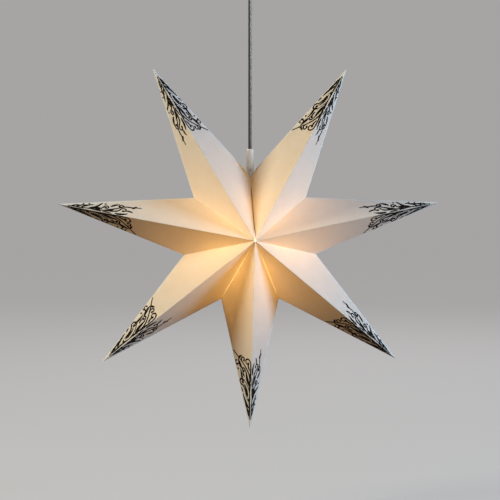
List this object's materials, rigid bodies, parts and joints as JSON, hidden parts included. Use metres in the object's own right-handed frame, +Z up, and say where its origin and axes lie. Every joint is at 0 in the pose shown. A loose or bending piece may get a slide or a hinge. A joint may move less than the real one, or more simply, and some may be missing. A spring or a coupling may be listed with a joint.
{
  "type": "folding paper star lantern",
  "caption": "Lit paper star lantern with pleated points and a black scroll print, on a cord from a ceiling cup; it folds flat like a fan.",
  "frame": {"origin": "centre of the ceiling face that the bracket and the cup's rim rest against; the star's centre is 468 mm below it on -Z", "axes": "+Z up into the ceiling, star's front apex towards -Y, +X to the right as seen from the front"},
  "size_m": [0.6266, 0.1975, 0.7861],
  "materials": {
    "star_card": "matt white card, lit from inside",
    "hook_fabric": "hook-and-loop dots",
    "opal_plastic": "opal stem",
    "holder_plastic": "lampholder body",
    "insert_ceramic": "insulating insert",
    "contact_brass": "bright",
    "tip_black": "black glassy insulator",
    "bulb_white": "white collar",
    "opal_glass": "opal, lit",
    "cord_rubber": "charcoal jacket",
    "wire_brown": "conductor insulation",
    "cup_white": "white",
    "bush_black": "black",
    "screw_steel": "zinc plated"
  },
  "bodies": {
    "ceiling_fitting": {"ceiling_cup": "cup_white", "cord_bush": "bush_black", "cord_clamp": "holder_plastic", "clamp_screws": "screw_steel", "cord_tail": "cord_rubber", "conductors": "wire_brown", "terminal_block": "holder_plastic", "ceiling_bracket": "screw_steel", "cup_screws": "screw_steel"},
    "cord": {"mains_cord": "cord_rubber"},
    "lamp": {"stem_tube": "opal_plastic", "stem_cap": "opal_plastic", "grip_screw": "screw_steel", "holder_shell": "holder_plastic", "holder_insert": "insert_ceramic", "screw_shell": "contact_brass", "centre_contact": "contact_brass"},
    "bulb": {"bulb_cap": "contact_brass", "bulb_tip": "tip_black", "bulb_collar": "bulb_white", "bulb_globe": "opal_glass"},
    "point_1_front_a": {"point_1_front_a": "star_card", "seam_tab_front_a": "star_card", "loop_fasteners_front": "hook_fabric"},
    "point_1_front_b": {"point_1_front_b": "star_card"},
    "point_2_front_a": {"point_2_front_a": "star_card"},
    "point_2_front_b": {"point_2_front_b": "star_card"},
    "point_3_front_a": {"point_3_front_a": "star_card"},
    "point_3_front_b": {"point_3_front_b": "star_card"},
    "point_4_front_a": {"point_4_front_a": "star_card"},
    "point_4_front_b": {"point_4_front_b": "star_card"},
    "point_5_front_a": {"point_5_front_a": "star_card"},
    "point_5_front_b": {"point_5_front_b": "star_card"},
    "point_6_front_a": {"point_6_front_a": "star_card"},
    "point_6_front_b": {"point_6_front_b": "star_card"},
    "point_7_front_a": {"point_7_front_a": "star_card"},
    "point_7_front_b": {"point_7_front_b": "star_card", "seam_tab_front_b": "star_card", "hook_fasteners_front": "hook_fabric"},
    "point_1_back_a": {"point_1_back_a": "star_card", "seam_tab_back_a": "star_card", "loop_fasteners_back": "hook_fabric"},
    "point_1_back_b": {"point_1_back_b": "star_card"},
    "point_2_back_a": {"point_2_back_a": "star_card"},
    "point_2_back_b": {"point_2_back_b": "star_card"},
    "point_3_back_a": {"point_3_back_a": "star_card"},
    "point_3_back_b": {"point_3_back_b": "star_card"},
    "point_4_back_a": {"point_4_back_a": "star_card"},
    "point_4_back_b": {"point_4_back_b": "star_card"},
    "point_5_back_a": {"point_5_back_a": "star_card"},
    "point_5_back_b": {"point_5_back_b": "star_card"},
    "point_6_back_a": {"point_6_back_a": "star_card"},
    "point_6_back_b": {"point_6_back_b": "star_card"},
    "point_7_back_a": {"point_7_back_a": "star_card"},
    "point_7_back_b": {"point_7_back_b": "star_card", "seam_tab_back_b": "star_card", "hook_fasteners_back": "hook_fabric"}
  },
  "joints": [
    {"name": "pendant_swing", "type": "hinge", "parent": "ceiling_fitting", "child": "cord", "pos_m": [0, 0, -0.056], "axis": [0, 1, 0], "range_deg": [-20, 20]},
    {"name": "pendant_turn", "type": "hinge", "parent": "cord", "child": "lamp", "pos_m": [0, 0, -0.323], "axis": [0, 0, 1], "range_deg": [-180, 180]},
    {"name": "bulb_screw", "type": "hinge", "parent": "lamp", "child": "bulb", "pos_m": [0, 0, -0.436], "axis": [0, 0, -1], "range_deg": [0, 1080]},
    {"name": "star_fold", "type": "hinge", "parent": "lamp", "child": "point_4_front_b", "pos_m": [0, -0.1, -0.468], "axis": [0, 0.2991, -0.9542], "range_deg": [0, 34]},
    {"name": "fold_4_a", "type": "hinge", "parent": "lamp", "child": "point_4_front_a", "pos_m": [0, -0.1, -0.468], "axis": [0, -0.2991, 0.9542], "range_deg": [0, 34.2]},
    {"name": "valley_4_5", "type": "hinge", "parent": "point_4_front_b", "child": "point_5_front_a", "pos_m": [-0.00015, -0.1004, -0.46832], "axis": [0.316, -0.664, 0.6776], "range_deg": [0, 94.04]},
    {"name": "ridge_5", "type": "hinge", "parent": "point_5_front_a", "child": "point_5_front_b", "pos_m": [0, -0.1, -0.468], "axis": [-0.731, 0.2991, -0.6134], "range_deg": [0, 68.2]},
    {"name": "valley_5_6", "type": "hinge", "parent": "point_5_front_b", "child": "point_6_front_a", "pos_m": [-0.00034, -0.1004, -0.46809], "axis": [0.7222, -0.664, 0.1935], "range_deg": [0, 94.04]},
    {"name": "ridge_6", "type": "hinge", "parent": "point_6_front_a", "child": "point_6_front_b", "pos_m": [0, -0.1, -0.468], "axis": [-0.9397, 0.2991, 0.1657], "range_deg": [0, 68.2]},
    {"name": "valley_6_7", "type": "hinge", "parent": "point_6_front_b", "child": "point_7_front_a", "pos_m": [-0.00029, -0.1004, -0.4678], "axis": [0.6125, -0.664, -0.4289], "range_deg": [0, 94.04]},
    {"name": "ridge_7", "type": "hinge", "parent": "point_7_front_a", "child": "point_7_front_b", "pos_m": [0, -0.1, -0.468], "axis": [-0.4771, 0.2991, 0.8264], "range_deg": [0, 68.2]},
    {"name": "valley_3_4", "type": "hinge", "parent": "point_4_front_a", "child": "point_3_front_b", "pos_m": [0.00015, -0.1004, -0.46832], "axis": [0.316, 0.664, -0.6776], "range_deg": [0, 94.04]},
    {"name": "ridge_3", "type": "hinge", "parent": "point_3_front_b", "child": "point_3_front_a", "pos_m": [0, -0.1, -0.468], "axis": [-0.731, -0.2991, 0.6134], "range_deg": [0, 68.2]},
    {"name": "valley_2_3", "type": "hinge", "parent": "point_3_front_a", "child": "point_2_front_b", "pos_m": [0.00034, -0.1004, -0.46809], "axis": [0.7222, 0.664, -0.1935], "range_deg": [0, 94.04]},
    {"name": "ridge_2", "type": "hinge", "parent": "point_2_front_b", "child": "point_2_front_a", "pos_m": [0, -0.1, -0.468], "axis": [-0.9397, -0.2991, -0.1657], "range_deg": [0, 68.2]},
    {"name": "valley_1_2", "type": "hinge", "parent": "point_2_front_a", "child": "point_1_front_b", "pos_m": [0.00029, -0.1004, -0.4678], "axis": [0.6125, 0.664, 0.4289], "range_deg": [0, 94.04]},
    {"name": "ridge_1", "type": "hinge", "parent": "point_1_front_b", "child": "point_1_front_a", "pos_m": [0, -0.1, -0.468], "axis": [-0.4771, -0.2991, -0.8264], "range_deg": [0, 68.2]},
    {"name": "crease_1_a", "type": "hinge", "parent": "point_1_front_a", "child": "point_1_back_a", "pos_m": [0.1595, 0, -0.19174], "axis": [0.6739, 0, 0.7388], "range_deg": [0, 65.82]},
    {"name": "crease_1_b", "type": "hinge", "parent": "point_1_front_b", "child": "point_1_back_b", "pos_m": [0.1595, 0, -0.19174], "axis": [-0.3028, 0, -0.953], "range_deg": [0, 65.82]},
    {"name": "crease_2_a", "type": "hinge", "parent": "point_2_front_a", "child": "point_2_back_a", "pos_m": [0.31415, 0, -0.41261], "axis": [0.9991, 0, -0.0414], "range_deg": [0, 65.82]},
    {"name": "crease_2_b", "type": "hinge", "parent": "point_2_front_b", "child": "point_2_back_b", "pos_m": [0.31415, 0, -0.41261], "axis": [-0.9247, 0, -0.3806], "range_deg": [0, 65.82]},
    {"name": "crease_3_a", "type": "hinge", "parent": "point_3_front_a", "child": "point_3_back_a", "pos_m": [0.24437, 0, -0.67305], "axis": [0.6105, 0, -0.792], "range_deg": [0, 65.82]},
    {"name": "crease_3_b", "type": "hinge", "parent": "point_3_front_b", "child": "point_3_back_b", "pos_m": [0.24437, 0, -0.67305], "axis": [-0.886, 0, 0.4637], "range_deg": [0, 65.82]},
    {"name": "crease_4_a", "type": "hinge", "parent": "point_4_front_a", "child": "point_4_back_a", "pos_m": [0, 0, -0.787], "axis": [-0.2143, 0, -0.9768], "range_deg": [0, 65.82]},
    {"name": "crease_4_b", "type": "hinge", "parent": "point_4_front_b", "child": "point_4_back_b", "pos_m": [0, 0, -0.787], "axis": [-0.2143, 0, 0.9768], "range_deg": [0, 65.82]},
    {"name": "crease_5_a", "type": "hinge", "parent": "point_5_front_a", "child": "point_5_back_a", "pos_m": [-0.24437, 0, -0.67305], "axis": [-0.886, 0, -0.4637], "range_deg": [0, 65.82]},
    {"name": "crease_5_b", "type": "hinge", "parent": "point_5_front_b", "child": "point_5_back_b", "pos_m": [-0.24437, 0, -0.67305], "axis": [0.6105, 0, 0.792], "range_deg": [0, 65.82]},
    {"name": "crease_6_a", "type": "hinge", "parent": "point_6_front_a", "child": "point_6_back_a", "pos_m": [-0.31415, 0, -0.41261], "axis": [-0.9247, 0, 0.3806], "range_deg": [0, 65.82]},
    {"name": "crease_6_b", "type": "hinge", "parent": "point_6_front_b", "child": "point_6_back_b", "pos_m": [-0.31415, 0, -0.41261], "axis": [0.9991, 0, 0.0414], "range_deg": [0, 65.82]},
    {"name": "crease_7_a", "type": "hinge", "parent": "point_7_front_a", "child": "point_7_back_a", "pos_m": [-0.1595, 0, -0.19174], "axis": [-0.3028, 0, 0.953], "range_deg": [0, 65.82]},
    {"name": "crease_7_b", "type": "hinge", "parent": "point_7_front_b", "child": "point_7_back_b", "pos_m": [-0.1595, 0, -0.19174], "axis": [0.6739, 0, -0.7388], "range_deg": [0, 65.82]}
  ],
  "couplings": [
    {"joint": "fold_4_a", "follows": "star_fold", "ratio": 1},
    {"joint": "valley_4_5", "follows": "star_fold", "ratio": 2.76},
    {"joint": "ridge_5", "follows": "star_fold", "ratio": 2},
    {"joint": "valley_5_6", "follows": "star_fold", "ratio": 2.76},
    {"joint": "ridge_6", "follows": "star_fold", "ratio": 2},
    {"joint": "valley_6_7", "follows": "star_fold", "ratio": 2.76},
    {"joint": "ridge_7", "follows": "star_fold", "ratio": 2},
    {"joint": "valley_3_4", "follows": "star_fold", "ratio": 2.76},
    {"joint": "ridge_3", "follows": "star_fold", "ratio": 2},
    {"joint": "valley_2_3", "follows": "star_fold", "ratio": 2.76},
    {"joint": "ridge_2", "follows": "star_fold", "ratio": 2},
    {"joint": "valley_1_2", "follows": "star_fold", "ratio": 2.76},
    {"joint": "ridge_1", "follows": "star_fold", "ratio": 2},
    {"joint": "crease_1_a", "follows": "star_fold", "ratio": 1.93},
    {"joint": "crease_1_b", "follows": "star_fold", "ratio": 1.93},
    {"joint": "crease_2_a", "follows": "star_fold", "ratio": 1.93},
    {"joint": "crease_2_b", "follows": "star_fold", "ratio": 1.93},
    {"joint": "crease_3_a", "follows": "star_fold", "ratio": 1.93},
    {"joint": "crease_3_b", "follows": "star_fold", "ratio": 1.93},
    {"joint": "crease_4_a", "follows": "star_fold", "ratio": 1.93},
    {"joint": "crease_4_b", "follows": "star_fold", "ratio": 1.93},
    {"joint": "crease_5_a", "follows": "star_fold", "ratio": 1.93},
    {"joint": "crease_5_b", "follows": "star_fold", "ratio": 1.93},
    {"joint": "crease_6_a", "follows": "star_fold", "ratio": 1.93},
    {"joint": "crease_6_b", "follows": "star_fold", "ratio": 1.93},
    {"joint": "crease_7_a", "follows": "star_fold", "ratio": 1.93},
    {"joint": "crease_7_b", "follows": "star_fold", "ratio": 1.93}
  ]
}
